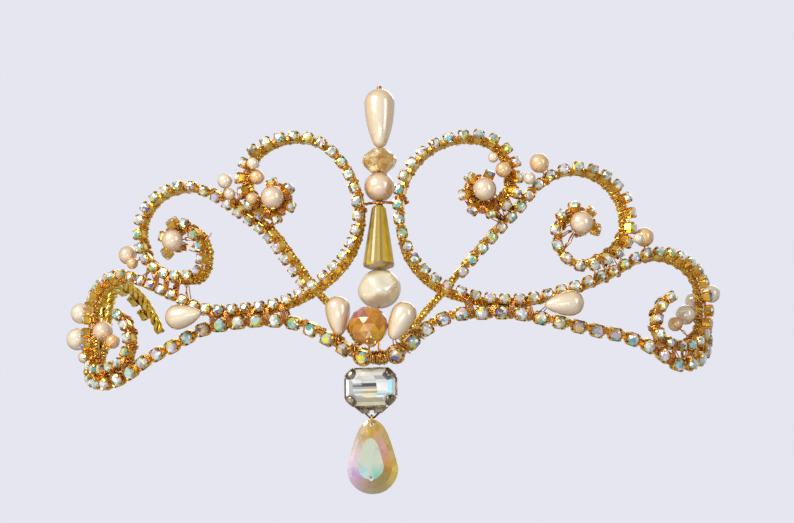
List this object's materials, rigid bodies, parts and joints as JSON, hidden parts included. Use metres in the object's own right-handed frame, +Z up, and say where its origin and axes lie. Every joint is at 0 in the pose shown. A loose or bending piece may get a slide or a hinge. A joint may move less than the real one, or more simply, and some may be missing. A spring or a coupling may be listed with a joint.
{
  "type": "tiara",
  "caption": "Bridal tiara of gold braid scrolls lined with crystal cup chain, with pearls, glass beads and a hinged crystal drop below its front.",
  "frame": {"origin": "centre of the head opening, level with the lowest point of the base band's dip", "axes": "+Z up, -Y out of the front of the tiara, +X to the left-hand side of the wearer, which is the viewer's right"},
  "size_m": [0.1798, 0.0775, 0.1077],
  "materials": {
    "gold_braid": "glittering gold braid",
    "cup_chain": "gold cups with aurora crystal stones",
    "pearl": "satin champagne pearl",
    "cream_pearl": "cream baroque pearl",
    "copper_wire": "bright copper wire",
    "amber_glass": "faceted amber glass",
    "olive_glass": "faceted olive glass",
    "champagne_glass": "faceted champagne glass",
    "crystal": "clear octagon crystal with a silvered back",
    "aurora_crystal": "aurora-coated crystal",
    "antique_metal": "antique dark brass"
  },
  "bodies": {
    "tiara": {"amber_bead": "amber_glass", "baroque_pearl": "cream_pearl", "base_chain_left": "cup_chain", "base_chain_right": "cup_chain", "base_wire": "gold_braid", "centre_drop_left": "pearl", "centre_drop_right": "pearl", "cluster_pearl_left_1": "pearl", "cluster_pearl_left_2": "pearl", "cluster_pearl_left_3": "pearl", "cluster_pearl_left_4": "pearl", "cluster_pearl_left_5": "pearl", "cluster_pearl_right_1": "pearl", "cluster_pearl_right_2": "pearl", "cluster_pearl_right_3": "pearl", "cluster_pearl_right_4": "pearl", "cone_bead": "olive_glass", "cross_binding": "copper_wire", "end_pearl_left": "pearl", "end_pearl_right": "pearl", "end_pearl_small_left": "pearl", "end_pearl_small_right": "pearl", "finial_pin": "copper_wire", "inner_pearl_left": "pearl", "inner_pearl_right": "pearl", "long_scroll_chain_left": "cup_chain", "long_scroll_chain_right": "cup_chain", "long_scroll_wire_left": "gold_braid", "long_scroll_wire_right": "gold_braid", "middle_pearl_left": "pearl", "middle_pearl_right": "pearl", "middle_scroll_chain_left": "cup_chain", "middle_scroll_chain_right": "cup_chain", "middle_scroll_wire_left": "gold_braid", "middle_scroll_wire_right": "gold_braid", "middle_side_pearl_left_1": "pearl", "middle_side_pearl_left_2": "pearl", "middle_side_pearl_right_1": "pearl", "middle_side_pearl_right_2": "pearl", "pendant_bail": "antique_metal", "pendant_setting": "antique_metal", "pendant_stone": "crystal", "rear_pearl_left_1": "pearl", "rear_pearl_left_2": "pearl", "rear_pearl_left_3": "pearl", "rear_pearl_right_1": "pearl", "rear_pearl_right_2": "pearl", "rondelle": "champagne_glass", "round_pearl": "pearl", "top_drop": "pearl", "wing_drop_left": "pearl", "wing_drop_right": "pearl"},
    "drop": {"drop_ring": "gold_braid", "pear_drop": "aurora_crystal"}
  },
  "joints": [
    {"name": "drop_swing", "type": "hinge", "parent": "tiara", "child": "drop", "pos_m": [-0.0025, -0.0424, -0.01285], "axis": [1, 0, 0], "range_deg": [-70, 70]}
  ]
}
